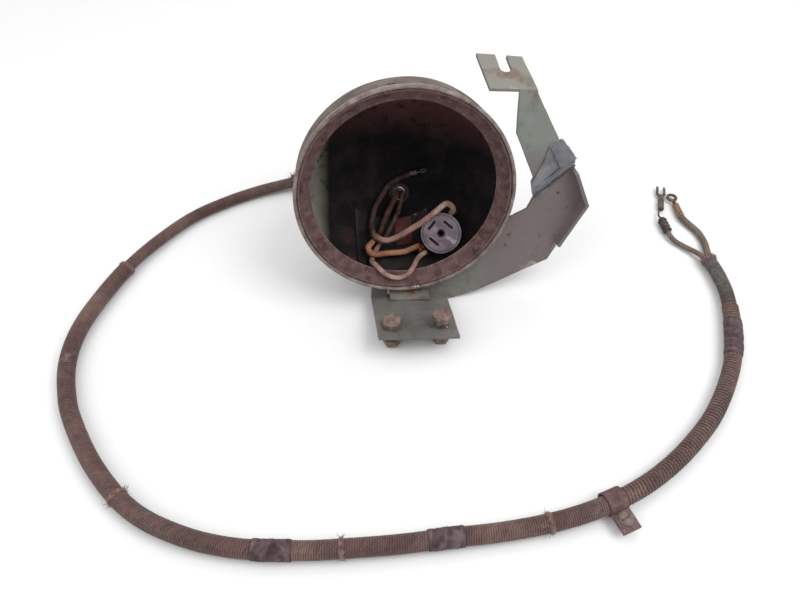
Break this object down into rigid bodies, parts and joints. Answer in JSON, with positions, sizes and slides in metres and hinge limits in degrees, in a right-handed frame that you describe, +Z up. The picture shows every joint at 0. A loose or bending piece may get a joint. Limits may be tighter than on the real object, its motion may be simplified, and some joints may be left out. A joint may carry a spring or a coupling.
{
  "type": "electric signal lamp housing on bracket",
  "caption": "Round sheet-steel signal lamp housing on a bent bracket with a fork tab, loose bolts, a lamp plug and a long woven-loom cable with a pipe clip.",
  "frame": {"origin": "on the surface that it lies on, below the middle of the housing and bracket (cable left out)", "axes": "+Z up, -Y towards the housing's open mouth, +X towards the bracket's arm"},
  "size_m": [0.5225, 0.3659, 0.1739],
  "materials": {
    "housing_paint": "old grey-green paint, dusty and worn",
    "rim_steel": "worn purple-brown primer with bright edges",
    "seat_steel": "dusty purple-brown, finely pitted",
    "bracket_paint": "weathered grey-green paint with rust stains",
    "cloth_tape": "dirty grey cloth tape, wrinkled",
    "rusty_steel": "rusted and pitted",
    "black_rubber": "aged",
    "plug_moulding": "dusty moulded plug",
    "brass_contacts": "tarnished",
    "dark_eyelet": "darkened",
    "pink_braid": "braided cloth insulation",
    "tinned_steel": "dull tinned",
    "orange_braid": "braided cloth insulation",
    "red_tape": "faded red cloth tape",
    "woven_loom": "ribbed woven loom, impregnated and dusty",
    "frayed_loom": "frayed loom ends",
    "dark_tape": "dark friction tape",
    "clip_steel": "dull steel with light rust",
    "grey_thread": "thread whipping",
    "dark_braid": "dirty braided insulation",
    "copper": "tarnished copper"
  },
  "bodies": {
    "root": {"housing_shell": "housing_paint", "front_rim": "rim_steel", "lamp_seat_ring": "seat_steel", "saddle_plate": "housing_paint", "housing_foot": "bracket_paint", "foot_rivets": "housing_paint", "mounting_bracket": "bracket_paint", "arm_tape": "cloth_tape", "cable_grommet": "black_rubber", "plug_body": "plug_moulding", "plug_contacts": "brass_contacts", "plug_eyelet": "dark_eyelet", "ground_lead": "pink_braid", "ground_terminal": "tinned_steel", "upper_lead": "orange_braid", "lower_lead": "pink_braid", "red_tape": "red_tape", "loom_small": "woven_loom", "loom_large": "woven_loom", "loom_collar": "frayed_loom", "loom_joints": "frayed_loom", "tape_bands": "dark_tape", "pipe_clip": "clip_steel", "clip_screw": "rusty_steel", "clip_nut": "rusty_steel", "end_binding": "grey_thread", "end_collar": "frayed_loom", "thin_lead": "dark_braid", "thick_lead": "dark_braid", "terminal_boot": "black_rubber", "bare_wire": "copper", "spade_terminal": "tinned_steel", "ring_terminal": "copper"},
    "left_bolt_set": {"left_bolt": "rusty_steel", "left_nut": "rusty_steel"},
    "right_bolt_set": {"right_bolt": "rusty_steel", "right_nut": "rusty_steel"}
  },
  "joints": [
    {"name": "left_bolt_slide", "type": "slide", "parent": "root", "child": "left_bolt_set", "axis": [0, 0, 1], "range_m": [0, 0.007]},
    {"name": "right_bolt_slide", "type": "slide", "parent": "root", "child": "right_bolt_set", "axis": [0, 0, 1], "range_m": [-0.005, 0.0045]}
  ]
}
